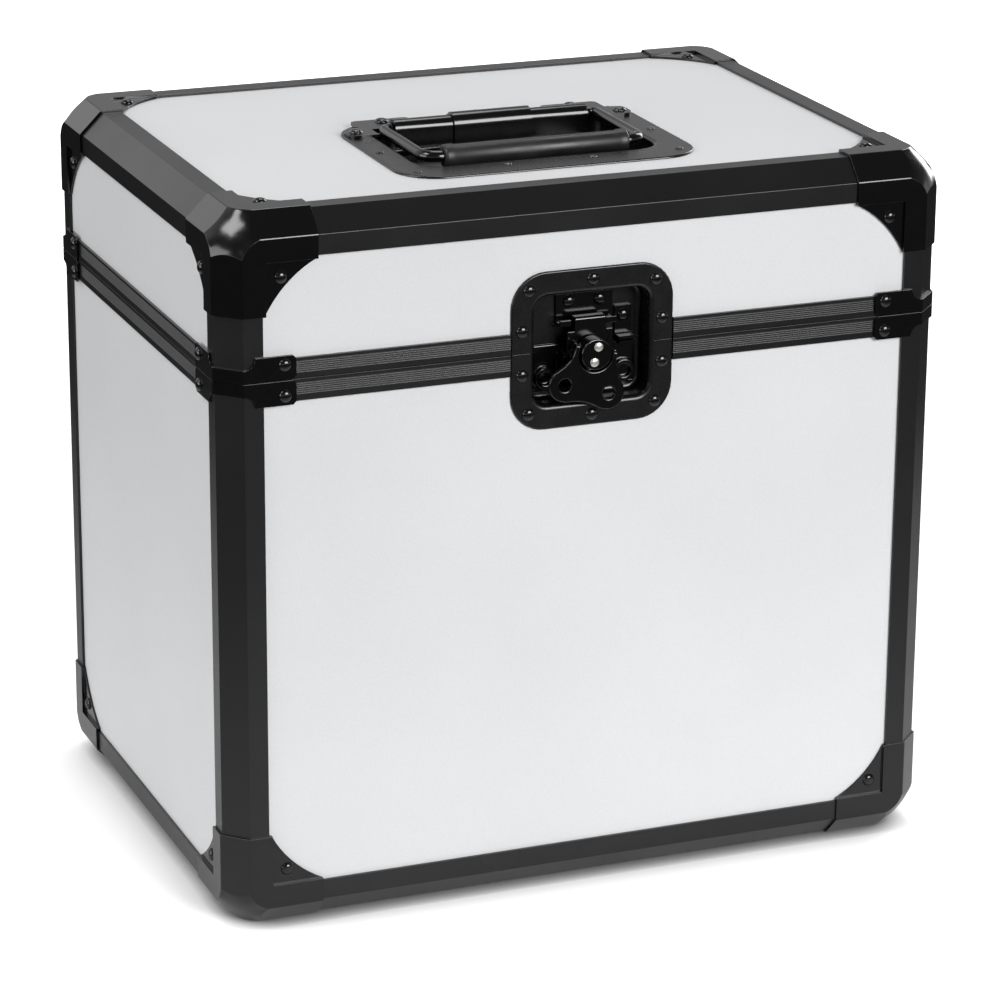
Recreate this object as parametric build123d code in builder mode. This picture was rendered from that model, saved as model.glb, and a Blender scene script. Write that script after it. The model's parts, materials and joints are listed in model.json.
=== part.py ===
"""Record carrying case: a panelled box with bevelled edge extrusions, pressed corners, a hinged
lid, a recessed twist latch on the front and a recessed spring handle on the lid.

Frame: origin at the centre of the footprint, on the surface that the case stands on; +X to the
right, +Y to the back, +Z up. Lengths are in millimetres. The front face looks along -Y.
"""

import os
from math import sqrt

from build123d import *

os.makedirs("parts", exist_ok=True)

# ---------------------------------------------------------------- overall sizes
case_width = 375.0  # left to right, over the edge extrusions
case_depth = 274.0  # front to back, over the edge extrusions
case_height = 358.0  # bottom to top, over the edge extrusions
lid_height = 79.5  # parting line to the top of the extrusions
seam_gap = 0.3  # air between the lid and the base all round
seat_gap = 0.15  # slip between pieces of one half

# ---------------------------------------------------------------- panels and edge extrusions
panel_thick = 7.0
skin_thick = 1.5  # wall of the edge extrusions; the panels lie this far below their face
bevel_leg = 10.8  # each leg of the 45 degree bevel along a case edge
flange_width = 9.9  # flat of the extrusion beside the bevel, over the panel
panel_start = 12.0  # case edge to the hidden edge of a panel
panel_clip = 5.5  # bevel across the corners of the panels under the pressed corners
edge_start = 24.0  # case corner to the end of an extrusion, under the pressed corner

# ---------------------------------------------------------------- pressed corners and braces
cap_thick = 1.2  # sheet of the corners and braces
cap_leg = 48.0  # reach of a corner along each edge
cap_arc_radius = 58.0  # concave edge of the gusset
cap_arc_centre = 73.8  # from both edges to the centre of that arc
facet_depth = 17.7  # case corner to the three-sided facet, along the diagonal
cap_rivet_inset = 29.6  # gusset rivet from both edges
brace_height = 12.0
brace_waist = 6.5  # height of a brace where it crosses the bevel
brace_reach = 36.5
brace_end_break = 1.6
brace_rivet_inset = 30.9
brace_rivet_rise = 7.6

# ---------------------------------------------------------------- rims at the parting line
lid_rim_height = 10.2
base_rim_height = 10.9
tongue_thick = 2.0
tongue_height = 3.0
tongue_inset = 4.0  # case face to the outer side of the tongue
groove_clearance = 0.8  # each side of the tongue
groove_floor_gap = 1.2  # below the tongue
groove_wall = 1.2
rib_count = 6
rib_pitch = 1.0
rib_side = 0.45  # side of the square that cuts each V between the ribs
lid_rib_start = 3.4  # parting line to the first V
base_rib_start = 2.2

# ---------------------------------------------------------------- lining
lining_thick = 3.0
lining_gap = 0.5

# ---------------------------------------------------------------- rivets
rivet_radius = 3.2
rivet_sides = 8  # flanks of a head
rivet_slope = 0.6  # share of the height of a head over which its top edge slopes
rivet_height = 1.7
foot_rivet_recess = 0.2  # the rivets under the case stay this far above its standing face
latch_dish_rivets = ((-33.0, 30.8), (0.0, 34.0), (33.0, 30.8), (-36.5, 11.0), (36.5, 11.0))
handle_flat_rivets = ((69.0, -44.0), (22.5, -45.0), (72.5, -1.0), (70.0, 48.0))
bracket_rivets = ((-71.5, 0.0), (-51.5, 17.5), (0.0, 18.0), (51.5, 17.5), (71.5, 0.0))

# ---------------------------------------------------------------- latch dish
dish_sheet = 1.2
latch_width = 84.6
latch_height = 79.0
latch_outer_round = 18.0
latch_recess_width = 60.0
latch_recess_height = 54.4
latch_recess_round = 7.0
latch_recess_depth = 12.5  # face of the flange to the floor
dish_lip_break = 0.9
cutout_clearance = 0.8  # between a dish and the panel or lining that it passes through

# ---------------------------------------------------------------- latch works
hub_drop = 2.6  # turning axis below the parting line
hub_radius = 7.8
hub_proud = 5.2  # face of the hub in front of the case
hub_base_depth = 2.2  # back of the hub behind the front of the case
hub_shaft_radius = 2.5
cam_radius = 5.7
cam_clearance = 0.9
cam_side_gap = 0.4
wing_thick = 2.0
wing_proud = 4.6  # front of the folded wing in front of the case
wing_turn = 15.0  # degrees that the folded wing points to the left of straight down
wing_ring_radius = 8.9
wing_shoulder = 11.2  # half width at the hinge ears
wing_lobe_radius = 8.3
wing_lobe_side = 11.8
wing_lobe_drop = 17.7
wing_hole_radius = 3.2
wing_axis_depth = -1.0  # folding axis behind the front of the case
wing_pin_radius = 1.2
wing_ear_radius = 3.0
wing_ear_thick = 1.7
wing_top = 2.6  # folding axis to the upper ends of the wing
wing_neck = 5.0  # folding axis down to where the shoulders flare
wing_neck_round = 12.0
wing_scallop_radius = 26.0
wing_scallop_depth = 1.6
hinge_block_side = 8.6
hinge_block_half = 2.4
pin_clearance = 0.05
hub_stud_radius = 2.3
hub_stud_spread = 3.9
hub_stud_height = 0.7
hook_width = 16.0
hook_plate_width = 24.0
hook_shoulder = 7.5  # parting line to where the hook narrows
hook_sheet = 1.6
hook_depth = 3.2  # front of the hook plate behind the front of the case
hook_travel = 6.0
strike_width = 30.0
strike_sheet = 1.5
strike_lip_top = 12.5  # above the parting line
strike_lip_height = 3.0
strike_lip_gap = 0.6  # between the hook plate and the lip in front of it
strike_notch_gap = 0.6  # each side of the curl of the hook
strike_plate_top = 24.0
strike_rivet_rise = 20.4
strike_rivet_side = 8.0
hook_seat_gap = 0.3
hook_tip_drop = 2.4
hook_tip_gap = 0.6
frame_width = 53.0
frame_drop = 22.0  # parting line to the lower edge of the latch frame
frame_sheet = 1.6
boss_side = 9.0  # block in which the hub shaft turns
eyelet_radius = 5.6
eyelet_bore = 3.4
eyelet_side = 20.5
eyelet_drop = 16.5
eyelet_height = 2.6
cheek_height = 11.0
cheek_rise = -4.5
lock_tab_side = 20.5
lock_tab_width = 9.0
lock_tab_rise = 16.0
lock_tab_rivet = 11.0
lock_lip_depth = 6.0

# ---------------------------------------------------------------- handle
handle_width = 157.0
handle_length = 115.0
handle_front_inset = 43.0  # case front to the front edge of the dish
handle_outer_round = 22.0
handle_recess_side = 62.8  # half width of the recess
handle_recess_front = 20.5  # flange in front of the recess
handle_recess_back = 16.5  # flange behind the recess
handle_recess_round = 14.0
handle_recess_depth = 12.5
bail_rod_radius = 3.0
bail_rod_sides = 8
bail_half_width = 57.5
bail_length = 61.3
bail_bend = 8.0  # at the grip
bail_pivot_bend = 5.0
bail_pivot_inset = 21.0  # back edge of the dish to the pivot
bail_rise = 1.5  # pivot above the top of the flange
bail_end_side = 8.0  # middle of the handle to the hidden ends of the rod
grip_radius = 5.8
grip_length = 97.0
bracket_sheet = 1.5
bracket_clearance = 0.4
bracket_skirt = 8.5  # pivot to the lower edge of the skirt
bracket_back = 15.0  # pivot to the back edge between the tabs
bracket_tab_back = 22.5
bracket_tab_side = 51.5
bracket_tab_width = 31.0
bracket_cover_side = 52.0
bracket_side = 76.5
bracket_lug_inner = 62.0
bracket_lug_front = 8.0
bracket_lug_back = 8.5
bracket_lug_round = 6.0
bracket_tab_round = 3.0
spring_radius = 4.3  # of the coils that the cover leaves room for
spring_cover_side = 21.0
handle_rivet_radius = 2.2
handle_rivet_height = 0.8
bracket_rivet_radius = 3.6

# ---------------------------------------------------------------- hinges
hinge_side = 95.0
hinge_width = 60.0
hinge_sheet = 1.5
hinge_pin_radius = 1.7
hinge_leaf_height = 40.0
knuckle_length = 20.0
knuckle_gap = 0.4  # between knuckles, and between a knuckle and what turns past it
stop_radius = 10.0
stop_half_angle = 46.0  # of each stop flange from the level of the hinge pin
stop_sheet = 2.0
hinge_rivet_side = 20.0
hinge_rivet_rises = (19.0, 32.0)

# ---------------------------------------------------------------- derived places
side_x = case_width / 2
side_y = case_depth / 2
base_z = cap_thick
top_z = base_z + case_height
mid_z = base_z + case_height / 2
part_z = top_z - lid_height
lip = bevel_leg + flange_width
inner_face = skin_thick + panel_thick
inner_skin = inner_face + skin_thick
UP = (0, 0, 1)


def export(builder, label):
    """Names a finished piece and writes it."""
    builder.part.label = label
    export_step(builder.part, f"parts/{label}.step")


def on_face(origin, inward_a, inward_b):
    """A plane across a case edge: its axes run into the case from the edge at origin."""
    normal = Vector(*inward_a).cross(Vector(*inward_b))
    return Plane(origin=origin, x_dir=inward_a, z_dir=normal)


def rivet_head(radius, height):
    """A low rivet head that stands on the origin, its top edge broken all round."""
    with BuildPart() as head:
        with BuildSketch():
            RegularPolygon(radius, rivet_sides)
        extrude(amount=height)
        chamfer(head.edges().group_by(Axis.Z)[-1], height * rivet_slope)
    return head.part


domed_rivet = rivet_head(rivet_radius, rivet_height)


def stand(shape, spot, outward):
    """Adds a shape made at the origin, standing on spot."""
    with Locations(Plane(origin=spot, z_dir=outward)):
        add(shape)


# ================================================================ edge extrusions
def edge_section(plane):
    """Double-angle section: bevelled skin, two slots for the panels and an inner angle."""
    bend = skin_thick * (sqrt(2) - 1)
    wall_a = panel_start - seat_gap
    wall_b = wall_a - skin_thick
    with BuildSketch(plane) as section:
        Polygon(
            (lip, 0),
            (bevel_leg, 0),
            (0, bevel_leg),
            (0, lip),
            (skin_thick, lip),
            (skin_thick, wall_a),
            (inner_face, wall_a),
            (inner_face, lip),
            (inner_skin, lip),
            (inner_skin, inner_skin),
            (lip, inner_skin),
            (lip, inner_face),
            (wall_a, inner_face),
            (wall_a, skin_thick),
            (lip, skin_thick),
            align=None,
        )
        Polygon(
            (bevel_leg - bend, skin_thick),
            (wall_b, skin_thick),
            (wall_b, inner_face),
            (inner_face, wall_b),
            (skin_thick, wall_b),
            (skin_thick, bevel_leg - bend),
            align=None,
            mode=Mode.SUBTRACT,
        )
    return section.sketch


def edge_bar(origin, inward_a, inward_b, length):
    """Adds an edge extrusion centred on origin."""
    extrude(edge_section(on_face(origin, inward_a, inward_b)), amount=length / 2, both=True)


long_bar = case_width - 2 * edge_start
short_bar = case_depth - 2 * edge_start
base_post_end = part_z - seam_gap / 2
base_post_start = base_z + edge_start
lid_post_start = part_z + seam_gap / 2
lid_post_end = top_z - edge_start

for label, z, inward in (("bottom_edges", base_z, UP), ("top_edges", top_z, (0, 0, -1))):
    with BuildPart() as edges:
        for sign in (-1, 1):
            edge_bar((0, sign * side_y, z), (0, -sign, 0), inward, long_bar)
            edge_bar((sign * side_x, 0, z), (-sign, 0, 0), inward, short_bar)
    export(edges, label)

for label, low, high in (
    ("base_posts", base_post_start, base_post_end),
    ("lid_posts", lid_post_start, lid_post_end),
):
    with BuildPart() as posts:
        for sign_x in (-1, 1):
            for sign_y in (-1, 1):
                edge_bar(
                    (sign_x * side_x, sign_y * side_y, (low + high) / 2),
                    (-sign_x, 0, 0),
                    (0, -sign_y, 0),
                    high - low,
                )
    export(posts, label)


# ================================================================ rims at the parting line
groove_width = tongue_thick + 2 * groove_clearance
groove_depth = tongue_height + groove_floor_gap
groove_inset = tongue_inset - groove_clearance
panel_top_drop = groove_depth + groove_wall + seat_gap
lid_panel_rise = seam_gap / 2 + skin_thick + seat_gap


def rib_places(start, way):
    """Places of the V cuts between the ribs, upwards for way = 1 and downwards for way = -1."""
    return [(0, way * (start + step * rib_pitch)) for step in range(rib_count)]


def lid_rim_section(plane):
    """Channel over the panel edge with the tongue below it."""
    low = seam_gap / 2
    with BuildSketch(plane) as section:
        Polygon(
            (0, low),
            (tongue_inset, low),
            (tongue_inset, -tongue_height),
            (tongue_inset + tongue_thick, -tongue_height),
            (tongue_inset + tongue_thick, low),
            (inner_skin, low),
            (inner_skin, lid_rim_height),
            (inner_face, lid_rim_height),
            (inner_face, low + skin_thick),
            (skin_thick, low + skin_thick),
            (skin_thick, lid_rim_height),
            (0, lid_rim_height),
            align=None,
        )
        with Locations(*rib_places(lid_rib_start, 1)):
            Rectangle(rib_side, rib_side, rotation=45, mode=Mode.SUBTRACT)
    return section.sketch


def base_rim_section(plane):
    """Channel over the panel edge with the groove in its top."""
    high = -seam_gap / 2
    groove_far = groove_inset + groove_width
    floor = -groove_depth
    with BuildSketch(plane) as section:
        Polygon(
            (0, high),
            (groove_inset, high),
            (groove_inset, floor),
            (groove_far, floor),
            (groove_far, high),
            (inner_skin, high),
            (inner_skin, -base_rim_height),
            (inner_face, -base_rim_height),
            (inner_face, floor - groove_wall),
            (skin_thick, floor - groove_wall),
            (skin_thick, -base_rim_height),
            (0, -base_rim_height),
            align=None,
        )
        with Locations(*rib_places(base_rib_start, -1)):
            Rectangle(rib_side, rib_side, rotation=45, mode=Mode.SUBTRACT)
    return section.sketch


def rim_bar(section, origin, inward, length):
    """Adds a rim of the given section, centred on origin, with its inner side along inward."""
    extrude(section(on_face(origin, inward, UP)), amount=length / 2, both=True)


latch_side = latch_width / 2
front_rim_length = side_x - lip - latch_side - 2 * seat_gap
front_rim_centre = latch_side + seat_gap + front_rim_length / 2
back_rim_length = 2 * (side_x - lip - seat_gap)
side_rim_length = 2 * (side_y - lip - seat_gap)

for half, section in (("base", base_rim_section), ("lid", lid_rim_section)):
    with BuildPart() as rim_front:
        for sign in (-1, 1):
            rim_bar(section, (sign * front_rim_centre, -side_y, part_z), (0, 1, 0), front_rim_length)
    export(rim_front, f"{half}_rim_front")

    with BuildPart() as rim_back:
        rim_bar(section, (0, side_y, part_z), (0, -1, 0), back_rim_length)
    export(rim_back, f"{half}_rim_back")

    for name, sign in (("left", -1), ("right", 1)):
        with BuildPart() as rim_side:
            rim_bar(section, (sign * side_x, 0, part_z), (-sign, 0, 0), side_rim_length)
        export(rim_side, f"{half}_rim_{name}")


# ================================================================ panels
latch_box_side = latch_recess_width / 2 + dish_sheet
latch_box_rise = latch_recess_height / 2 + dish_sheet
notch_side = latch_box_side + cutout_clearance
notch_rise = latch_box_rise + cutout_clearance
wall_low = base_z + panel_start
wall_high = part_z - panel_top_drop
lid_wall_low = part_z + lid_panel_rise
lid_wall_high = top_z - panel_start
panel_side_x = side_x - panel_start
panel_side_y = side_y - panel_start

handle_mid_y = -side_y + handle_front_inset + handle_length / 2
handle_back_y = handle_mid_y + handle_length / 2
recess_front_y = handle_mid_y - handle_length / 2 + handle_recess_front
recess_back_y = handle_back_y - handle_recess_back
recess_mid_y = (recess_front_y + recess_back_y) / 2
recess_length = recess_back_y - recess_front_y
handle_hole_x = 2 * (handle_recess_side + dish_sheet + cutout_clearance)
handle_hole_y = recess_length + 2 * (dish_sheet + cutout_clearance)
panel_face_z = top_z - skin_thick


def wall_sheet(plane, half_length, low, high, thick, clipped=None):
    """Adds an upright sheet whose outer face lies on the plane, clipped in the row asked for."""
    with BuildSketch(plane) as outline:
        with Locations((0, (low + high) / 2)):
            Rectangle(2 * half_length, high - low)
        if clipped is not None:
            chamfer(outline.vertices().group_by(Axis.Y)[clipped], panel_clip)
    extrude(outline.sketch, amount=-thick)


def latch_notch(plane, side, low, high):
    """Cuts the opening behind the latch dish out of a front sheet."""
    with BuildSketch(plane) as opening:
        with Locations((0, (low + high) / 2)):
            Rectangle(2 * side, high - low)
    extrude(opening.sketch, amount=-2 * inner_skin, mode=Mode.SUBTRACT)


FRONT = Plane.XZ.offset(side_y)
BACK = Plane(origin=(0, side_y, 0), x_dir=(-1, 0, 0), z_dir=(0, 1, 0))
LEFT = Plane(origin=(-side_x, 0, 0), x_dir=(0, -1, 0), z_dir=(-1, 0, 0))
RIGHT = Plane(origin=(side_x, 0, 0), x_dir=(0, 1, 0), z_dir=(1, 0, 0))
walls = (
    ("front", FRONT, panel_side_x),
    ("back", BACK, panel_side_x),
    ("left", LEFT, panel_side_y),
    ("right", RIGHT, panel_side_y),
)

for half, low, high, clipped, notch_low, notch_high in (
    ("base", wall_low, wall_high, 0, part_z - notch_rise, part_z),
    ("lid", lid_wall_low, lid_wall_high, -1, part_z, part_z + notch_rise),
):
    for name, face, half_length in walls:
        with BuildPart() as panel:
            wall_sheet(face.offset(-skin_thick), half_length, low, high, panel_thick, clipped)
            if name == "front":
                latch_notch(face, notch_side, notch_low, notch_high)
        export(panel, f"{half}_panel_{name}")

with BuildPart() as base_panel_bottom:
    with BuildSketch(Plane.XY.offset(base_z + skin_thick)) as outline:
        Rectangle(2 * panel_side_x, 2 * panel_side_y)
        chamfer(outline.vertices(), panel_clip)
    extrude(amount=panel_thick)
export(base_panel_bottom, "base_panel_bottom")

with BuildPart() as lid_panel_top:
    with BuildSketch(Plane.XY.offset(panel_face_z)) as outline:
        Rectangle(2 * panel_side_x, 2 * panel_side_y)
        chamfer(outline.vertices(), panel_clip)
        with Locations((0, recess_mid_y)):
            Rectangle(handle_hole_x, handle_hole_y, mode=Mode.SUBTRACT)
    extrude(amount=-panel_thick)
export(lid_panel_top, "lid_panel_top")


# ================================================================ lining
lining_side_x = side_x - lip - lining_gap
lining_side_y = side_y - lip - lining_gap
base_lining_low = base_z + lip + lining_gap
base_lining_high = part_z - base_rim_height - lining_gap
lid_lining_low = part_z + lid_rim_height + lining_gap
lid_lining_high = top_z - lip - lining_gap
lining_notch = notch_side + lining_gap

for half, low, high, notch_low, notch_high in (
    ("base", base_lining_low, base_lining_high, part_z - notch_rise, part_z),
    ("lid", lid_lining_low, lid_lining_high, part_z, part_z + notch_rise),
):
    with BuildPart() as lining:
        wall_sheet(FRONT.offset(-inner_face), lining_side_x, low, high, lining_thick)
        latch_notch(FRONT, lining_notch, notch_low, notch_high)
        wall_sheet(BACK.offset(-inner_face), lining_side_x, low, high, lining_thick)
        wall_sheet(LEFT.offset(-inner_face), lining_side_y, low, high, lining_thick)
        wall_sheet(RIGHT.offset(-inner_face), lining_side_y, low, high, lining_thick)
    export(lining, f"{half}_lining")

with BuildPart() as base_floor_lining:
    with BuildSketch(Plane.XY.offset(base_z + inner_face)):
        Rectangle(2 * lining_side_x, 2 * lining_side_y)
    extrude(amount=lining_thick)
export(base_floor_lining, "base_floor_lining")

with BuildPart() as lid_top_lining:
    with BuildSketch(Plane.XY.offset(top_z - inner_face)):
        Rectangle(2 * lining_side_x, 2 * lining_side_y)
        with Locations((0, recess_mid_y)):
            Rectangle(handle_hole_x, handle_hole_y, mode=Mode.SUBTRACT)
    extrude(amount=-lining_thick)
export(lid_top_lining, "lid_top_lining")


# ================================================================ pressed corners
def bevelled_block(start, leg, wide, proud):
    """Three square prisms along the axes, bevelled as the case corner is.

    The case corner is at the origin and the case lies towards +X, +Y and +Z. The prisms run
    from start to leg, and their bevels and facet stand proud of those of the case.
    """
    cut = bevel_leg - proud * sqrt(2)
    long = leg - start
    across = wide - start
    with BuildPart() as block:
        with Locations((start, start, start)):
            Box(long, across, across, align=(Align.MIN, Align.MIN, Align.MIN))
            Box(across, long, across, align=(Align.MIN, Align.MIN, Align.MIN))
            Box(across, across, long, align=(Align.MIN, Align.MIN, Align.MIN))
        for side_a, side_b in (((0, 1, 0), UP), ((1, 0, 0), UP), ((1, 0, 0), (0, 1, 0))):
            with BuildSketch(on_face((0, 0, 0), side_a, side_b)):
                Polygon(
                    (-2 * bevel_leg, -2 * bevel_leg),
                    (cut + 2 * bevel_leg, -2 * bevel_leg),
                    (-2 * bevel_leg, cut + 2 * bevel_leg),
                    align=None,
                )
            extrude(amount=2 * leg, both=True, mode=Mode.SUBTRACT)
        facet = Plane(origin=(0, 0, 0), z_dir=(1, 1, 1)).offset(facet_depth - proud)
        split(bisect_by=facet, keep=Keep.TOP)
    return block


cap_band = lip + seat_gap + cap_thick


def corner_cap():
    """A pressed corner at the origin, for a case that lies towards +X, +Y and +Z."""
    far = 2 * cap_leg
    outer = bevelled_block(-cap_thick, cap_leg, cap_band, cap_thick)
    edges = bevelled_block(0, far, lip + seat_gap, 0)
    core = bevelled_block(skin_thick, far, far, 0)
    gusset_low = skin_thick - cap_thick
    gusset_side = cap_leg - lip - seat_gap
    gusset_middle = cap_leg - gusset_side / 2
    with BuildPart() as cap:
        add(outer.part)
        add(edges.part, mode=Mode.SUBTRACT)
        add(core.part, mode=Mode.SUBTRACT)
        for across, along in (((0, 1, 0), UP), (UP, (1, 0, 0)), ((1, 0, 0), (0, 1, 0))):
            face = on_face((0, 0, 0), across, along)
            with BuildSketch(face.offset(gusset_low)):
                with Locations((gusset_middle, gusset_middle)):
                    Rectangle(gusset_side, gusset_side)
                with Locations((cap_arc_centre, cap_arc_centre)):
                    Circle(cap_arc_radius, mode=Mode.SUBTRACT)
            extrude(amount=cap_thick)
    return cap.part


def at_corner(shape, sign_x, sign_y, sign_z):
    """Moves a shape made at the origin to a case corner, mirrored where that corner needs it."""
    placed = Pos(-side_x, -side_y, base_z) * shape
    if sign_x > 0:
        placed = placed.mirror(Plane.YZ)
    if sign_y > 0:
        placed = placed.mirror(Plane.XZ)
    if sign_z > 0:
        placed = placed.mirror(Plane.XY.offset(mid_z))
    return placed


cap_shape = corner_cap()
quarters = [(sign_x, sign_y) for sign_x in (-1, 1) for sign_y in (-1, 1)]
for level, sign_z in (("bottom", -1), ("top", 1)):
    for end, sign_y in (("front", -1), ("back", 1)):
        with BuildPart() as pair:
            for sign_x in (-1, 1):
                add(at_corner(cap_shape, sign_x, sign_y, sign_z))
        export(pair, f"{level}_corners_{end}")


# ================================================================ braces at the parting line
def brace_shape():
    """A bent brace round a post, standing on the parting line, for a case towards +X and +Y."""
    cut = bevel_leg - cap_thick * (sqrt(2) - 1)
    low = seam_gap / 2
    high = low + brace_height
    with BuildPart() as brace:
        with BuildSketch(Plane.XY.offset(low)):
            Polygon(
                (brace_reach, -cap_thick),
                (cut, -cap_thick),
                (-cap_thick, cut),
                (-cap_thick, brace_reach),
                (0, brace_reach),
                (0, bevel_leg),
                (bevel_leg, 0),
                (brace_reach, 0),
                align=None,
            )
        extrude(amount=brace_height)
        for plane in (Plane.XZ, Plane.YZ):
            with BuildSketch(plane) as scoop:
                with Locations((0, (high + brace_waist) / 2 + low)):
                    Rectangle(2 * bevel_leg, high - brace_waist + 2 * low)
                with Locations((bevel_leg, high)):
                    Circle(high - low - brace_waist)
            extrude(scoop.sketch, amount=bevel_leg, both=True, mode=Mode.SUBTRACT)
        chamfer(brace.edges().filter_by(Axis.Y).group_by(Axis.X)[-1], brace_end_break)
        chamfer(brace.edges().filter_by(Axis.X).group_by(Axis.Y)[-1], brace_end_break)
    return brace.part


brace = brace_shape()
for label, way in (("lid_braces", 1), ("base_braces", -1)):
    with BuildPart() as braces:
        for sign_x, sign_y in quarters:
            placed = Pos(-side_x, -side_y, 0) * brace
            if way < 0:
                placed = placed.mirror(Plane.XY)
            placed = Pos(0, 0, part_z) * placed
            if sign_x > 0:
                placed = placed.mirror(Plane.YZ)
            if sign_y > 0:
                placed = placed.mirror(Plane.XZ)
            add(placed)
    export(braces, label)


# ================================================================ latch dish
latch_face = Plane(origin=(0, -side_y + skin_thick - dish_sheet, part_z), x_dir=(1, 0, 0), z_dir=(0, -1, 0))


def pressed_dish(plane, outline, opening, opening_shift, corner, floor_depth, outer_corner):
    """A pressed dish: flange on the plane, recess behind it, the mouth broken."""
    with BuildPart() as dish:
        with BuildSketch(plane):
            RectangleRounded(*outline, outer_corner)
        extrude(amount=-dish_sheet)
        with BuildSketch(plane):
            with Locations(opening_shift):
                RectangleRounded(
                    opening[0] + 2 * dish_sheet, opening[1] + 2 * dish_sheet, corner + dish_sheet
                )
        extrude(amount=-floor_depth - dish_sheet)
        with BuildSketch(plane):
            with Locations(opening_shift):
                RectangleRounded(*opening, corner)
        extrude(amount=-floor_depth, mode=Mode.SUBTRACT)
        mouth = dish.faces().sort_by(Axis(plane.origin, plane.z_dir))[-1].inner_wires()[0]
        chamfer(mouth.edges(), dish_lip_break)
    return dish.part


latch_dish = pressed_dish(
    latch_face,
    (latch_width, latch_height),
    (latch_recess_width, latch_recess_height),
    (0, 0),
    latch_recess_round,
    latch_recess_depth,
    latch_outer_round,
)
latch_floor = skin_thick - dish_sheet + latch_recess_depth  # behind the front of the case
for half, sign in (("base", -1), ("lid", 1)):
    with BuildPart() as latch_half:
        add(latch_dish)
        keep = Plane.XY.offset(part_z + sign * seam_gap / 2)
        split(bisect_by=keep, keep=Keep.TOP if sign > 0 else Keep.BOTTOM)
    export(latch_half, f"latch_dish_{half}")


def depth(amount):
    """A plane parallel to the front face at that depth behind it, looking forward."""
    return Plane(origin=(0, -side_y + amount, part_z), x_dir=(1, 0, 0), z_dir=(0, -1, 0))


def side_view(x):
    """A plane across the latch at x: its axes are the depth behind the front and the height."""
    return Plane(origin=(x, -side_y, part_z), x_dir=(0, 1, 0), z_dir=(1, 0, 0))


# ---------------------------------------------------------------- strike on the lid
hook_plate_back = hook_depth + hook_sheet
lip_front = hook_plate_back + strike_lip_gap
lip_back = lip_front + strike_sheet
tip_front = lip_back + hook_tip_gap
tip_back = tip_front + hook_sheet
strike_back = latch_floor
strike_front = strike_back - strike_sheet
lip_root = strike_lip_top - strike_lip_height

with BuildPart() as latch_strike:
    with BuildSketch(side_view(0)):
        Polygon(
            (strike_back, strike_plate_top),
            (strike_front, strike_plate_top),
            (strike_front, lip_root + strike_sheet),
            (lip_back, lip_root + strike_sheet),
            (lip_back, strike_lip_top),
            (lip_front, strike_lip_top),
            (lip_front, lip_root),
            (strike_back, lip_root),
            align=None,
        )
    extrude(amount=strike_width / 2, both=True)
    with BuildSketch(depth(tip_back + hook_tip_gap)):
        with Locations((0, (lip_root + strike_lip_top) / 2)):
            Rectangle(hook_width + 2 * strike_notch_gap, strike_lip_height)
    extrude(amount=tip_back, mode=Mode.SUBTRACT)
export(latch_strike, "latch_strike")

# ---------------------------------------------------------------- hook, sliding on the frame
cam_throw = hook_travel / 2
hook_under = strike_lip_top + hook_seat_gap
hook_top = hook_under + hook_sheet
window_rise = -hub_drop - cam_throw
window_half = cam_radius + cam_clearance
window_side = cam_radius + cam_throw + cam_side_gap
hook_foot = window_rise - window_half - 2 * hook_sheet
shoulder_cut = (hook_plate_width - hook_width) / 2

with BuildPart() as latch_hook:
    with BuildSketch(side_view(0)) as claw:
        Polygon(
            (hook_depth, hook_foot),
            (hook_plate_back, hook_foot),
            (hook_plate_back, hook_under),
            (tip_front, hook_under),
            (tip_front, hook_under - hook_tip_drop),
            (tip_back, hook_under - hook_tip_drop),
            (tip_back, hook_top),
            (hook_depth, hook_top),
            align=None,
        )
    extrude(amount=hook_plate_width / 2, both=True)
    fillet(latch_hook.edges().filter_by(Axis.X).group_by(Axis.Z)[-1], hook_sheet * 0.9)
    with BuildSketch(depth(0)):
        for sign in (-1, 1):
            with Locations((sign * (hook_width + shoulder_cut) / 2, (hook_top + hook_shoulder) / 2)):
                Rectangle(shoulder_cut, hook_top - hook_shoulder)
    extrude(amount=-latch_floor, mode=Mode.SUBTRACT)
    with BuildSketch(depth(hook_depth)):
        with Locations((0, window_rise)):
            RectangleRounded(2 * window_side, 2 * window_half, window_half * 0.6)
    extrude(amount=-hook_sheet, mode=Mode.SUBTRACT)
export(latch_hook, "latch_hook")

# ---------------------------------------------------------------- frame on the base
frame_front = latch_floor - frame_sheet
boss_front = hook_plate_back + hook_seat_gap
eyelets = [(-eyelet_side, -eyelet_drop), (eyelet_side, -eyelet_drop)]
cheek_side = hook_plate_width / 2 + hook_seat_gap + frame_sheet / 2
with BuildPart() as latch_frame:
    with BuildSketch(depth(latch_floor)):
        with Locations((0, -(seam_gap + frame_drop) / 2)):
            Rectangle(frame_width, frame_drop - seam_gap)
    extrude(amount=frame_sheet)
    with BuildSketch(depth(frame_front)):
        with Locations(*eyelets):
            Circle(eyelet_radius)
            Circle(eyelet_bore, mode=Mode.SUBTRACT)
    extrude(amount=eyelet_height)
    with BuildSketch(depth(frame_front)):
        cheek_middle = cheek_rise - cheek_height / 2
        with Locations((-cheek_side, cheek_middle), (cheek_side, cheek_middle)):
            Rectangle(frame_sheet, cheek_height)
    extrude(amount=frame_front - hook_depth)
    with BuildSketch(depth(frame_front)):
        with Locations((lock_tab_side, -seam_gap - frame_sheet / 2)):
            Rectangle(lock_tab_width, frame_sheet)
    extrude(amount=lock_lip_depth)
    with BuildSketch(depth(frame_front)):
        with Locations((0, -hub_drop)):
            Rectangle(boss_side, boss_side)
    extrude(amount=frame_front - boss_front)
    with BuildSketch(depth(boss_front)):
        with Locations((0, -hub_drop)):
            Circle(hub_shaft_radius + pin_clearance)
    extrude(amount=-latch_floor, mode=Mode.SUBTRACT)
export(latch_frame, "latch_frame")

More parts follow.
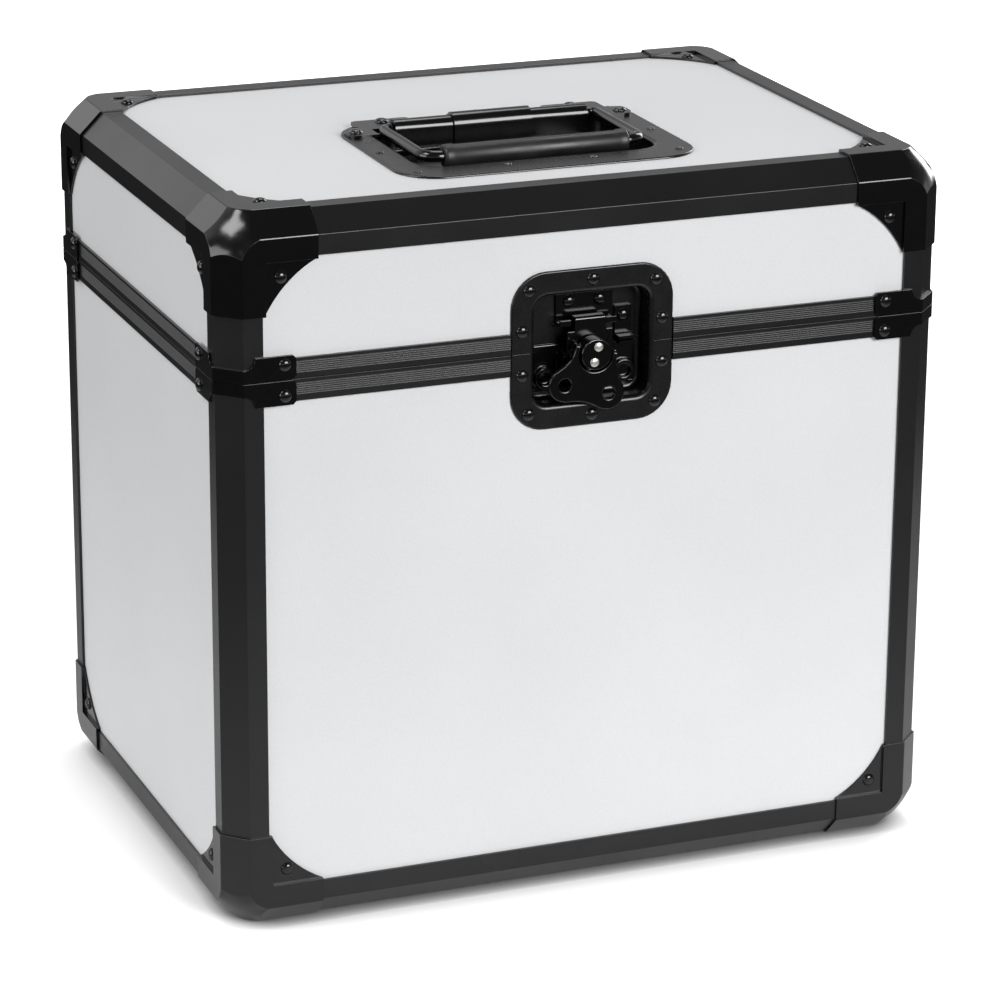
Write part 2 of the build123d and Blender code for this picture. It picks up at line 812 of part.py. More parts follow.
with BuildPart() as latch_lock_tab:
    with BuildSketch(side_view(lock_tab_side)):
        Polygon(
            (latch_floor, seam_gap),
            (frame_front - lock_lip_depth, seam_gap),
            (frame_front - lock_lip_depth, seam_gap + frame_sheet),
            (frame_front, seam_gap + frame_sheet),
            (frame_front, lock_tab_rise),
            (latch_floor, lock_tab_rise),
            align=None,
        )
    extrude(amount=lock_tab_width / 2, both=True)
export(latch_lock_tab, "latch_lock_tab")


# ---------------------------------------------------------------- hub and butterfly wing
def wing_view(amount):
    """A plane parallel to the front, centred on the hub and turned with the folded wing."""
    across = Vector(1, 0, 0).rotate(Axis.Y, wing_turn)
    return Plane(origin=(0, -side_y + amount, part_z - hub_drop), x_dir=across, z_dir=(0, -1, 0))


def wing_side(side):
    """A plane across the folding axis, at that distance along it from the middle of the hub."""
    view = wing_view(wing_axis_depth)
    return Plane(origin=view.origin + view.x_dir * side, x_dir=view.y_dir, z_dir=view.x_dir)


wing_back = -wing_proud + wing_thick
studs = [(0, -hub_stud_spread), (0, hub_stud_spread)]
with BuildPart() as latch_hub:
    with BuildSketch(wing_view(hub_base_depth)):
        Circle(hub_radius)
    extrude(amount=hub_base_depth + hub_proud)
    with BuildSketch(wing_view(hub_base_depth)):
        Rectangle(2 * hinge_block_side, 2 * hinge_block_half)
    extrude(amount=hub_base_depth - wing_back - hook_seat_gap)
    with BuildSketch(depth(hub_base_depth)):
        with Locations((0, window_rise)):
            Circle(cam_radius)
    extrude(amount=hub_base_depth - hook_plate_back)
    with BuildSketch(depth(hub_base_depth)):
        with Locations((0, -hub_drop)):
            Circle(hub_shaft_radius)
    extrude(amount=hub_base_depth + hook_seat_gap - latch_floor)
    with BuildSketch(wing_side(-hub_radius - wing_shoulder)):
        Circle(wing_pin_radius)
    extrude(amount=2 * (hub_radius + wing_shoulder), mode=Mode.SUBTRACT)
export(latch_hub, "latch_hub")

hub_stud = rivet_head(hub_stud_radius, hub_stud_height)
with BuildPart() as latch_hub_studs:
    for stud in studs:
        stand(hub_stud, wing_view(-hub_proud).from_local_coords(stud), (0, -1, 0))
export(latch_hub_studs, "latch_hub_studs")

with BuildPart() as latch_wing_pin:
    with BuildSketch(wing_side(-wing_shoulder)):
        Circle(wing_pin_radius)
    extrude(amount=2 * wing_shoulder)
export(latch_wing_pin, "latch_wing_pin")

lobes = [(-wing_lobe_side, -wing_lobe_drop), (wing_lobe_side, -wing_lobe_drop)]
lobe_low = -wing_lobe_drop - wing_lobe_radius
flank = wing_lobe_radius / sqrt(2)
with BuildPart() as latch_wing:
    with BuildSketch(wing_view(wing_back)) as outline:
        Polygon(
            (-wing_shoulder, wing_top),
            (-wing_shoulder, -wing_neck),
            (-wing_lobe_side - flank, -wing_lobe_drop + flank),
            (-wing_lobe_side, lobe_low),
            (wing_lobe_side, lobe_low),
            (wing_lobe_side + flank, -wing_lobe_drop + flank),
            (wing_shoulder, -wing_neck),
            (wing_shoulder, wing_top),
            align=None,
        )
        necks = outline.vertices().filter_by_position(Axis.Y, -wing_neck - 0.1, -wing_neck + 0.1)
        fillet(necks, wing_neck_round)
        with Locations(*lobes):
            Circle(wing_lobe_radius)
        with Locations((0, lobe_low + wing_scallop_depth - wing_scallop_radius)):
            Circle(wing_scallop_radius, mode=Mode.SUBTRACT)
        Circle(wing_ring_radius, mode=Mode.SUBTRACT)
        with Locations((0, wing_top)):
            Rectangle(2 * wing_ring_radius, 2 * wing_top, mode=Mode.SUBTRACT)
        with Locations(*lobes):
            Circle(wing_hole_radius, mode=Mode.SUBTRACT)
    extrude(amount=wing_thick)
    for side in (-wing_shoulder, wing_shoulder - wing_ear_thick):
        with BuildSketch(wing_side(side)):
            with Locations((0, 0)):
                Circle(wing_ear_radius)
            with Locations((0, (wing_axis_depth - wing_back) / 2)):
                Rectangle(2 * wing_ear_radius, wing_axis_depth - wing_back)
            Circle(wing_pin_radius + pin_clearance, mode=Mode.SUBTRACT)
        extrude(amount=wing_ear_thick)
export(latch_wing, "latch_wing")


# ================================================================ handle
handle_face_z = panel_face_z + dish_sheet
handle_face = Plane(origin=(0, handle_mid_y, handle_face_z), x_dir=(1, 0, 0), z_dir=UP)
pivot_y = handle_back_y - bail_pivot_inset
pivot_z = handle_face_z + bail_rise

handle_pan = pressed_dish(
    handle_face,
    (handle_width, handle_length),
    (2 * handle_recess_side, recess_length),
    (0, recess_mid_y - handle_mid_y),
    handle_recess_round,
    handle_recess_depth,
    handle_outer_round,
)
with BuildPart() as handle_dish:
    add(handle_pan)
export(handle_dish, "handle_dish")

with BuildPart() as handle_bail:
    with BuildLine(Plane(origin=(0, pivot_y, pivot_z))) as route:
        Polyline(
            (bail_end_side, 0),
            (bail_half_width, 0),
            (bail_half_width, -bail_length),
            (-bail_half_width, -bail_length),
            (-bail_half_width, 0),
            (-bail_end_side, 0),
        )
        rows = route.vertices().group_by(Axis.Y)
        fillet(rows[0], bail_bend)
        fillet(rows[-1].sort_by(Axis.X)[0::3], bail_pivot_bend)
    with BuildSketch(Plane(origin=(bail_end_side, pivot_y, pivot_z), z_dir=(1, 0, 0))):
        RegularPolygon(bail_rod_radius, bail_rod_sides)
    sweep(path=route.line)
export(handle_bail, "handle_bail")

with BuildPart() as handle_grip:
    with BuildSketch(Plane(origin=(0, pivot_y - bail_length, pivot_z), z_dir=(1, 0, 0))):
        Circle(grip_radius)
        Circle(bail_rod_radius + pin_clearance, mode=Mode.SUBTRACT)
    extrude(amount=grip_length / 2, both=True)
export(handle_grip, "handle_grip")


def across_handle(x):
    """A plane across the handle at x: its axes run back from the pivot and up from it."""
    return Plane(origin=(x, pivot_y, pivot_z), x_dir=(0, 1, 0), z_dir=(1, 0, 0))


def cover(middle, half, inner):
    """Adds the bracket where it folds over the rod, with a skirt down into the recess."""
    outer = inner + bracket_sheet
    foot = -bail_rise
    with BuildSketch(across_handle(middle)) as section:
        with BuildLine():
            Polyline((-inner, 0), (-inner, -bracket_skirt), (-outer, -bracket_skirt), (-outer, 0))
            ThreePointArc((-outer, 0), (0, outer), (outer, 0))
            Polyline((outer, 0), (bracket_back, 0), (bracket_back, foot), (inner, foot), (inner, 0))
            ThreePointArc((inner, 0), (0, inner), (-inner, 0))
        make_face()
    extrude(section.sketch, amount=half, both=True)


def flat_sheet(side_low, side_high, front, back):
    """Adds a flat of the bracket on the flange of the dish, between those places."""
    with BuildSketch(Plane(origin=(0, pivot_y, handle_face_z))) as outline:
        with Locations(((side_low + side_high) / 2, (front + back) / 2)):
            Rectangle(side_high - side_low, back - front)
    extrude(outline.sketch, amount=bracket_sheet)


rod_cover = bail_rod_radius + bracket_clearance
spring_cover = spring_radius + bracket_clearance
tab_half = bracket_tab_width / 2
tab_inner = bracket_tab_side - tab_half
tab_outer = bracket_tab_side + tab_half
with BuildPart() as handle_bracket:
    cover(0, spring_cover_side, spring_cover)
    flat_sheet(-tab_half, tab_half, bracket_back, bracket_tab_back)
    for sign in (-1, 1):
        middle = sign * (spring_cover_side + bracket_cover_side) / 2
        cover(middle, (bracket_cover_side - spring_cover_side) / 2, rod_cover)
        for inner, outer, front, back in (
            (tab_inner, bracket_cover_side, bracket_back, bracket_tab_back),
            (bracket_cover_side, tab_outer, rod_cover, bracket_tab_back),
            (bracket_lug_inner, bracket_side, -bracket_lug_front, bracket_lug_back),
        ):
            flat_sheet(*sorted((sign * inner, sign * outer)), front, back)
    across = handle_bracket.edges().filter_by(Axis.Z).group_by(Axis.X)
    fillet(across[0] + across[-1], bracket_lug_round)
    fillet(handle_bracket.edges().filter_by(Axis.Z).group_by(Axis.Y)[-1], bracket_tab_round)
export(handle_bracket, "handle_bracket")


# ================================================================ hinges
knuckle_radius = hinge_pin_radius + pin_clearance + hinge_sheet
hinge_axis_out = knuckle_radius + knuckle_gap  # hinge axis behind the back face
leaf_turn = knuckle_radius + knuckle_gap  # where a leaf starts beside the knuckles of the other
leaf_edge = knuckle_gap / 2


def behind(x):
    """A plane across the hinge at x: its axes run back from the hinge axis and up from it."""
    return Plane(origin=(x, side_y + hinge_axis_out, part_z), x_dir=(0, 1, 0), z_dir=(1, 0, 0))


def leaf_sheet(x, way, rim_height):
    """Adds a leaf: flat over the rim, then stepped in to lie on the panel."""
    face = -hinge_axis_out
    step = rim_height + hinge_sheet
    with BuildSketch(behind(x)) as section:
        Polygon(
            (face, way * leaf_turn),
            (face, way * (rim_height + seat_gap)),
            (face - skin_thick, way * (rim_height + seat_gap)),
            (face - skin_thick, way * hinge_leaf_height),
            (face - skin_thick + hinge_sheet, way * hinge_leaf_height),
            (face - skin_thick + hinge_sheet, way * (step + hinge_sheet)),
            (face + hinge_sheet, way * step),
            (face + hinge_sheet, way * leaf_turn),
            align=None,
        )
    extrude(section.sketch, amount=hinge_width / 2, both=True)


def knuckle(x, way, low, high):
    """Adds a knuckle between low and high, with its root on the leaf and that of the stop."""
    with BuildSketch(behind(x + (low + high) / 2)) as section:
        Circle(knuckle_radius)
        with Locations((hinge_sheet / 2 - hinge_axis_out, way * (leaf_edge + leaf_turn) / 2)):
            Rectangle(hinge_sheet, leaf_turn - leaf_edge)
        stop_flange(way, knuckle_radius - hinge_sheet / 2)
        Circle(hinge_pin_radius + pin_clearance, mode=Mode.SUBTRACT)
    extrude(section.sketch, amount=(high - low) / 2, both=True)


def stop_flange(way, start):
    """Draws a stop flange: its face meets that of the other leaf when the lid is open."""
    with Locations(Rotation(0, 0, way * stop_half_angle)):
        with Locations(((start + stop_radius) / 2, way * (leaf_edge + stop_sheet / 2))):
            Rectangle(stop_radius - start, stop_sheet)


knuckle_edge = hinge_width / 2
inner_edge = knuckle_edge - knuckle_length
base_knuckles = ((-knuckle_edge, -inner_edge - leaf_edge), (inner_edge + leaf_edge, knuckle_edge))
lid_knuckles = ((-inner_edge + leaf_edge, inner_edge - leaf_edge),)
for half, way, rim_height, knuckles in (
    ("base", -1, base_rim_height, base_knuckles),
    ("lid", 1, lid_rim_height, lid_knuckles),
):
    with BuildPart() as leaves:
        for x in (-hinge_side, hinge_side):
            leaf_sheet(x, way, rim_height)
            for low, high in knuckles:
                knuckle(x, way, low, high)
            with BuildSketch(behind(x)) as bridge:
                stop_flange(way, leaf_turn)
            extrude(bridge.sketch, amount=hinge_width / 2, both=True)
    export(leaves, f"hinge_leaves_{half}")

with BuildPart() as hinge_pins:
    for x in (-hinge_side, hinge_side):
        with BuildSketch(behind(x)):
            Circle(hinge_pin_radius)
        extrude(amount=hinge_width / 2, both=True)
export(hinge_pins, "hinge_pins")


# ================================================================ rivets
def corner_rivets(face_z, up, end_rivet):
    """Adds the rivets of the four corners at the top or the bottom of the case."""
    rest = skin_thick - cap_thick
    for sign_x, sign_y in quarters:
        x = sign_x * (side_x - cap_rivet_inset)
        y = sign_y * (side_y - cap_rivet_inset)
        z = face_z - up * cap_rivet_inset
        stand(end_rivet, (x, y, face_z - up * rest), (0, 0, up))
        stand(domed_rivet, (x, sign_y * (side_y - rest), z), (0, sign_y, 0))
        stand(domed_rivet, (sign_x * (side_x - rest), y, z), (sign_x, 0, 0))


def brace_rivets(z):
    """Adds the rivets of the four braces at that height."""
    for sign_x, sign_y in quarters:
        x = sign_x * (side_x - brace_rivet_inset)
        y = sign_y * (side_y - brace_rivet_inset)
        stand(domed_rivet, (x, sign_y * (side_y + cap_thick), z), (0, sign_y, 0))
        stand(domed_rivet, (sign_x * (side_x + cap_thick), y, z), (sign_x, 0, 0))


def hinge_rivets(way):
    """Adds the rivets of the hinge leaves on one half."""
    for x in (-hinge_side, hinge_side):
        for side in (-hinge_rivet_side, hinge_rivet_side):
            for rise in hinge_rivet_rises:
                spot = (x + side, side_y - skin_thick + hinge_sheet, part_z + way * rise)
                stand(domed_rivet, spot, (0, 1, 0))


foot_rivet = rivet_head(rivet_radius, skin_thick - foot_rivet_recess)
with BuildPart() as base_rivets:
    corner_rivets(base_z, -1, foot_rivet)
    brace_rivets(part_z - brace_rivet_rise)
    hinge_rivets(-1)
export(base_rivets, "base_rivets")

with BuildPart() as lid_rivets:
    corner_rivets(top_z, 1, domed_rivet)
    brace_rivets(part_z + brace_rivet_rise)
    hinge_rivets(1)
export(lid_rivets, "lid_rivets")

flat_rivet = rivet_head(handle_rivet_radius, handle_rivet_height)
bracket_rivet = rivet_head(bracket_rivet_radius, rivet_height)
with BuildPart() as handle_rivets:
    for x, y in handle_flat_rivets:
        for sign in (-1, 1):
            stand(flat_rivet, (sign * x, handle_mid_y + y, handle_face_z), UP)
    for x, y in bracket_rivets:
        stand(bracket_rivet, (x, pivot_y + y, handle_face_z + bracket_sheet), UP)
export(handle_rivets, "handle_rivets")

for half, sign in (("base", -1), ("lid", 1)):
    with BuildPart() as latch_rivets:
        for x, rise in latch_dish_rivets:
            stand(domed_rivet, (x, latch_face.origin.Y, part_z + sign * rise), (0, -1, 0))
        if half == "lid":
            for side in (-strike_rivet_side, strike_rivet_side):
                spot = (side, strike_front - side_y, part_z + strike_rivet_rise)
                stand(domed_rivet, spot, (0, -1, 0))
            tab_spot = (lock_tab_side, frame_front - side_y, part_z + lock_tab_rivet)
            stand(domed_rivet, tab_spot, (0, -1, 0))
    export(latch_rivets, f"latch_rivets_{half}")
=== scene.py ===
"""Looks of the record carrying case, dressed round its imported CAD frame.

Lengths are in metres, in the frame of the CAD: +X to the right, +Y to the back, +Z up, with the
latch side of the case towards -Y.
"""

import json
import math

import bmesh
import bpy
from mathutils import Matrix, Vector


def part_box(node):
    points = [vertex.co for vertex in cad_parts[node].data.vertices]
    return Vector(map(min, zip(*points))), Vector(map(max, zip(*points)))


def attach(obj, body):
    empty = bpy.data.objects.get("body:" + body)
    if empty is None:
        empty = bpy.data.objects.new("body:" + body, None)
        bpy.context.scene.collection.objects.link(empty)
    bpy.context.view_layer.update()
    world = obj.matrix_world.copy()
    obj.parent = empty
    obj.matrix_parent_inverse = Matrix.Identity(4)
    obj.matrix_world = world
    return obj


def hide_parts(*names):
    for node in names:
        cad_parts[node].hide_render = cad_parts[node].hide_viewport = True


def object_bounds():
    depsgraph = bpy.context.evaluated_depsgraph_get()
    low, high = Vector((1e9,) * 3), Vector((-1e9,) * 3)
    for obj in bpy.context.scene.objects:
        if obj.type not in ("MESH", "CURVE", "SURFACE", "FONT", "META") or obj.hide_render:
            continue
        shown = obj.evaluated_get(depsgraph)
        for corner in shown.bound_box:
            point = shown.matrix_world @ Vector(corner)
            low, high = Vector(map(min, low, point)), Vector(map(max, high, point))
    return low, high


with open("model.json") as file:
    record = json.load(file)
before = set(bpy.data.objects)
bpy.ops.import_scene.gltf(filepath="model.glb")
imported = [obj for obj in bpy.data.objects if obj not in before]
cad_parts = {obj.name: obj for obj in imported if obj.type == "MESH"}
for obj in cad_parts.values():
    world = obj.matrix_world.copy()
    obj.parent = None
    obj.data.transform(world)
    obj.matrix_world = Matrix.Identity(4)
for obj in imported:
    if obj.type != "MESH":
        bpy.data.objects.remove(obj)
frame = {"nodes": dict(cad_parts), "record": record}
cad_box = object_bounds()
nodes = frame["nodes"]
scene = bpy.context.scene
MM = 0.001
case_middle = (Vector(cad_box[0]) + Vector(cad_box[1])) / 2
weld_reach = 0.002 * MM  # vertices of the CAD's facets that lie closer than this are one

# ---------------------------------------------------------------- photograph
camera_place = Vector((-0.7373, -1.8604, 0.8370))
camera_tilt = (1.2438, -0.0065, -0.3785)
camera_lens = 146.06
camera_sensor = 36

# ---------------------------------------------------------------- room and lamps
room_level = 0.11  # radiance of the dim room
room_foot = 0.7  # radiance of its pale foot
foot_rises = (0.10, 0.2)  # sines of the elevation between which the foot fades out
room_cards = (  # direction from the case, cosines where a card starts and is full, radiance
    ((-0.62, 0.72, 0.32), 0.75, 0.93, 0.72),
    ((0.20, 0.92, 0.35), 0.70, 0.95, 0.35),
)
softboxes = {  # place, (width, height), power
    "front_box": ((0.9, -2.6, 1.3), (1.5, 1.3), 82),
    "left_box": ((-1.5, -0.1, 2.1), (0.8, 0.8), 18),
    "left_wall": ((-2.5, -0.2, 0.8), (1.6, 1.2), 24),
    "right_strip": ((2.0, 1.15, 1.15), (0.6, 1.7), 24),
    "top_box": ((0.5, 0.9, 2.4), (0.9, 0.9), 11),
}
lamps_aim = Vector((0.0, 0.0, 0.18))

# ---------------------------------------------------------------- floor
floor_reach = 8.0
# To all but the camera it is a white table near the case and dark beyond that.
table_edge = (0.25, 0.85)  # distances between which the table fades out
table_white = 0.78
floor_beyond = 0.04
# To the camera it is pale paper that glows, up to white far from the case.
glow_start = (0.45, 1.6)  # distances between which the glow rises from glow_near to 1
glow_near = 0.35
# Painted shade in the crevice under the case, laid on both the paper's colour and its glow.
crevice_reach = 0.085
crevice_painted_shade = (0.15, 0.62, 0.12)  # openness in full shade, openness in none, light left in shade


# ================================================================ materials
noise_middle = (0.3, 0.7)  # most values of a noise lie between these
lacquer_lift = 1.2  # how much lighter the pale patches of an enamel are
lacquer_wear = (0.95, 1.07)  # shares of its roughness that an enamel varies between
black = (0.0, 0.0, 0.0)
white = (1.0, 1.0, 1.0)


class Tree:
    """Shorthands for the nodes of a node tree."""

    def __init__(self, tree):
        self.tree = tree

    def node(self, kind, **values):
        made = self.tree.nodes.new(kind)
        for key, value in values.items():
            setattr(made, key, value)
        return made

    def link(self, source, target):
        self.tree.links.new(source, target)

    def ramp(self, source, low, high, to_low=0.0, to_high=1.0, curve="LINEAR"):
        """Maps a value from one range to another, held at its ends."""
        made = self.node("ShaderNodeMapRange", interpolation_type=curve)
        for key, value in (
            ("From Min", low),
            ("From Max", high),
            ("To Min", to_low),
            ("To Max", to_high),
        ):
            made.inputs[key].default_value = value
        self.link(source, made.inputs["Value"])
        return made.outputs["Result"]

    def combine(self, operation, first, second):
        """The sum, product or greater of two values; each is a socket or a number."""
        made = self.node("ShaderNodeMath", operation=operation)
        for place, value in zip(made.inputs, (first, second)):
            if isinstance(value, float):
                place.default_value = value
            else:
                self.link(value, place)
        return made.outputs[0]


class Look(Tree):
    """A new material, patterned in the coordinates of its object."""

    def __init__(self, name):
        self.material = bpy.data.materials.new(name)
        self.material.use_nodes = True
        super().__init__(self.material.node_tree)
        self.shader = self.tree.nodes["Principled BSDF"]
        self.place = self.node("ShaderNodeTexCoord").outputs["Object"]

    def noise(self, scale, detail, roughness=0.5):
        made = self.node("ShaderNodeTexNoise")
        made.inputs["Scale"].default_value = scale
        made.inputs["Detail"].default_value = detail
        made.inputs["Roughness"].default_value = roughness
        self.link(self.place, made.inputs["Vector"])
        return made.outputs["Fac"]

    def patches(self, noise, low=0.0, high=1.0):
        """Soft patches between two values."""
        return self.ramp(noise, *noise_middle, low, high)

    def mix(self, factor, *colours):
        """The two colours mixed; each is a socket or a tuple."""
        made = self.node("ShaderNodeMix", data_type="RGBA")
        for index, colour in zip((6, 7), colours):  # the node's two colour sockets
            if isinstance(colour, tuple):
                made.inputs[index].default_value = (*colour, 1.0)
            else:
                self.link(colour, made.inputs[index])
        self.link(factor, made.inputs[0])
        return made.outputs[2]

    def bump(self, height, distance, strength):
        made = self.node("ShaderNodeBump")
        made.inputs["Distance"].default_value = distance
        made.inputs["Strength"].default_value = strength
        self.link(height, made.inputs["Height"])
        return made.outputs["Normal"]

    def finish(self, colour, roughness, normal=None, **values):
        self.link(colour, self.shader.inputs["Base Color"])
        self.link(roughness, self.shader.inputs["Roughness"])
        if normal is not None:
            self.link(normal, self.shader.inputs["Normal"])
        for key, value in values.items():
            self.shader.inputs[key.replace("_", " ")].default_value = value
        return self.material


def laminate():
    """Silver-white laminate: a fine flake in the film and a slight pebble on it."""
    look = Look("laminate")
    flake = look.noise(scale=2600, detail=2, roughness=0.6)
    cloud = look.patches(look.noise(scale=9, detail=2))
    light = look.mix(cloud, (0.655, 0.662, 0.672), (0.685, 0.69, 0.698))
    dark = look.mix(cloud, (0.60, 0.608, 0.62), (0.63, 0.637, 0.648))
    colour = look.mix(look.ramp(flake, low=0.35, high=0.62), dark, light)
    rough = look.ramp(flake, low=0.35, high=0.65, to_low=0.5, to_high=0.38)
    pebble = look.bump(look.noise(scale=1500, detail=2), distance=0.06 * MM, strength=0.35)
    return look.finish(colour, rough, pebble, Specular_IOR_Level=0.5)


def extrusion():
    """Black anodised aluminium with a fine grain."""
    look = Look("extrusion")
    grain = look.noise(scale=900, detail=2, roughness=0.6)
    cloud = look.noise(scale=14, detail=2)
    colour = look.mix(look.patches(grain), (0.004, 0.004, 0.0042), (0.006, 0.006, 0.0062))
    rough = look.patches(cloud, low=0.27, high=0.34)
    relief = look.bump(grain, distance=0.03 * MM, strength=0.3)
    return look.finish(colour, rough, relief, Specular_IOR_Level=0.5)


def lacquer(name, colour, roughness, peel=260):
    """Sprayed enamel on steel, with a slight orange peel and drier patches."""
    look = Look(name)
    cloud = look.patches(look.noise(scale=40, detail=3))
    base = look.mix(cloud, colour, tuple(part * lacquer_lift for part in colour))
    rough = look.patches(
        look.noise(scale=120, detail=2), *(roughness * share for share in lacquer_wear)
    )
    skin = look.bump(look.noise(scale=peel, detail=1), distance=0.06 * MM, strength=0.2)
    return look.finish(base, rough, skin, Specular_IOR_Level=0.55)


def foam():
    """Closed-cell lining: matt, with a fine open pore."""
    look = Look("foam")
    pore = look.noise(scale=1400, detail=3, roughness=0.7)
    cloud = look.noise(scale=20, detail=3)
    pores = look.ramp(pore, low=0.35, high=0.6)
    base = look.mix(pores, (0.022, 0.022, 0.024), (0.05, 0.05, 0.053))
    rough = look.patches(cloud, low=0.86, high=0.97)
    relief = look.bump(pore, distance=0.3 * MM, strength=0.6)
    return look.finish(base, rough, relief, Specular_IOR_Level=0.25)


def nickel():
    """Bright plated steel, slightly pitted."""
    look = Look("nickel")
    pits = look.noise(scale=1500, detail=3, roughness=0.6)
    base = look.mix(look.ramp(pits, low=0.35, high=0.65), (0.62, 0.60, 0.55), (0.85, 0.84, 0.8))
    rough = look.patches(pits, low=0.42, high=0.26)
    relief = look.bump(pits, distance=0.15 * MM, strength=0.5)
    return look.finish(base, rough, relief, Metallic=1.0)


def rivet_painted_sparkle():
    """Black rivet heads with grey specks painted into their colour for their sparkle: painted
    glints.
    """
    look = Look("rivet_painted_sparkle")
    fleck = look.noise(scale=1300, detail=2, roughness=0.7)
    # painted glints: grey specks in the base colour stand in for the sparkle of light on the black
    # heads
    painted_glints = look.ramp(fleck, low=0.53, high=0.63)
    base = look.mix(painted_glints, (0.006, 0.006, 0.0062), (0.14, 0.14, 0.136))
    rough = look.ramp(fleck, low=0.4, high=0.65, to_low=0.14, to_high=0.4)
    relief = look.bump(fleck, distance=0.1 * MM, strength=0.5)
    return look.finish(base, rough, relief, Specular_IOR_Level=0.6)


def rubber():
    """Black moulded grip sleeve, dulled by hands."""
    look = Look("rubber")
    cloud = look.noise(scale=60, detail=3)
    base = look.mix(look.patches(cloud), (0.009, 0.009, 0.0095), (0.014, 0.014, 0.0145))
    rough = look.patches(cloud, low=0.36, high=0.5)
    relief = look.bump(look.noise(scale=900, detail=2), distance=0.04 * MM, strength=0.4)
    return look.finish(base, rough, relief)


looks = {
    "panel_laminate": laminate(),
    "edge_aluminium": extrusion(),
    "corner_steel": lacquer("corner_enamel", (0.0012, 0.0012, 0.0013), 0.16),
    "dish_steel": lacquer("dish_enamel", (0.0022, 0.0022, 0.0023), 0.27),
    "lining_foam": foam(),
    "rivet_black": lacquer("rivet_enamel", (0.003, 0.003, 0.0033), 0.12, peel=600),
    # rivet heads with painted glints
    "rivet_bright": rivet_painted_sparkle(),
    "stud_bright": nickel(),
    "grip_rubber": rubber(),
    "hinge_steel": lacquer("hinge_enamel", (0.008, 0.008, 0.0085), 0.3),
    "handle_steel": lacquer("handle_enamel", (0.0015, 0.0015, 0.0016), 0.16),
    "latch_steel": lacquer("latch_enamel", (0.0013, 0.0013, 0.0014), 0.15),
}
slots = {entry["node"]: entry["material_slot"] for entry in frame["record"]["subparts"]}
bodies = frame["record"]["behaviour"]["bodies"]
body_of = {node: body for body, members in bodies.items() for node in members}


# ================================================================ dressing CAD nodes
broken_bend = 28  # degrees of bend from which the edge of a CAD node is broken
edge_widths = {
    "panel_laminate": 0.2 * MM,
    "edge_aluminium": 0.25 * MM,
    "corner_steel": 0.55 * MM,
    "dish_steel": 0.4 * MM,
    "lining_foam": 0.4 * MM,
    "latch_steel": 0.5 * MM,
    "handle_steel": 0.5 * MM,
    "hinge_steel": 0.25 * MM,
}
round_works = {  # pieces of the latch whose edges are rolled in full, also where they are close
    "latch_wing": 0.6 * MM,
    "latch_hub": 0.6 * MM,
    "latch_hook": 0.5 * MM,
    "latch_frame": 0.5 * MM,
    "latch_strike": 0.5 * MM,
    "latch_lock_tab": 0.5 * MM,
}


def round_edges(piece, width, segments, bend=None):
    """Rounds the edges that bend by more than some degrees, or else all by their weights."""
    bevel = piece.modifiers.new("edges", "BEVEL")
    bevel.width = width
    bevel.segments = segments
    bevel.limit_method = "WEIGHT"
    if bend is not None:
        bevel.limit_method = "ANGLE"
        bevel.angle_limit = math.radians(bend)
    return bevel


def keep_flats(piece):
    """Keeps the shading of flats flat beside rounded edges."""
    piece.modifiers.new("normals", "WEIGHTED_NORMAL").keep_sharp = True


def dress(name):
    """Gives a CAD node its material and broken edges that catch the light."""
    node = nodes[name]
    look = looks[slots[name]]
    if node.material_slots:
        for place in node.material_slots:
            place.material = look
    else:
        node.data.materials.append(look)
    node.modifiers.new("weld", "WELD").merge_threshold = weld_reach
    width = round_works.get(name, edge_widths.get(slots[name]))
    if width:
        bevel = round_edges(node, width, segments=3, bend=broken_bend)
        bevel.use_clamp_overlap = name not in round_works
        bevel.miter_outer = "MITER_ARC"
    keep_flats(node)


for name in nodes:
    dress(name)


# ================================================================ pieces of the scene's own
def new_piece(name, mesh, body, slot, *replaced):
    """A mesh in place, riding on a CAD body, with the finish of that slot."""
    piece = bpy.data.objects.new(name, mesh)
    scene.collection.objects.link(piece)
    mesh.materials.clear()
    mesh.materials.append(looks[slot])
    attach(piece, body)
    if replaced:
        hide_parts(*replaced)
    return piece


def piece_from(shape, name, body, slot, *replaced):
    """A shape as a piece; the shape is freed."""
    mesh = bpy.data.meshes.new(name)
    shape.to_mesh(mesh)
    shape.free()
    return new_piece(name, mesh, body, slot, *replaced)


def shape_of(name):
    """The welded facets of a CAD node."""
    shape = bmesh.new()
    shape.from_mesh(nodes[name].data)
    bmesh.ops.remove_doubles(shape, verts=shape.verts, dist=weld_reach)
    return shape


def add_strip(shape, outer, inner):
    """Adds the faces between two rings of as many vertices, and returns them."""
    strip = []
    for k in range(len(outer)):
        after = (k + 1) % len(outer)
        strip.append(shape.faces.new((outer[k], outer[after], inner[after], inner[k])))
    return strip


# ---------------------------------------------------------------- rivets
dome_profile = (  # shares of the radius and of the height
    (1.0, 0.0),
    (1.0, 0.12),
    (0.95, 0.3),
    (0.84, 0.55),
    (0.66, 0.79),
    (0.42, 0.94),
    (0.18, 1.0),
)
lathe_sides = 28


def islands(shape):
    """The vertices of each loose part of a shape."""
    seen = set()
    for start in shape.verts:
        if start in seen:
            continue
        seen.add(start)
        stack = [start]
        island = []
        while stack:
            vert = stack.pop()
            island.append(vert)
            for edge in vert.link_edges:
                other = edge.other_vert(vert)
                if other not in seen:
                    seen.add(other)
                    stack.append(other)
        yield island


def heads_of(name):
    """(centre of the foot, outward axis, radius, height) of each rivet head of a CAD node."""
    shape = shape_of(name)
    heads = []
    for island in islands(shape):
        low = Vector([min(vert.co[i] for vert in island) for i in range(3)])
        high = Vector([max(vert.co[i] for vert in island) for i in range(3)])
        size = high - low
        way = min(range(3), key=lambda i: size[i])
        centre = (low + high) / 2
        outward = Vector((0, 0, 0))
        outward[way] = 1 if centre[way] > case_middle[way] else -1
        foot = centre - outward * size[way] / 2
        heads.append((foot, outward, max(size) / 2, size[way]))
    shape.free()
    return heads


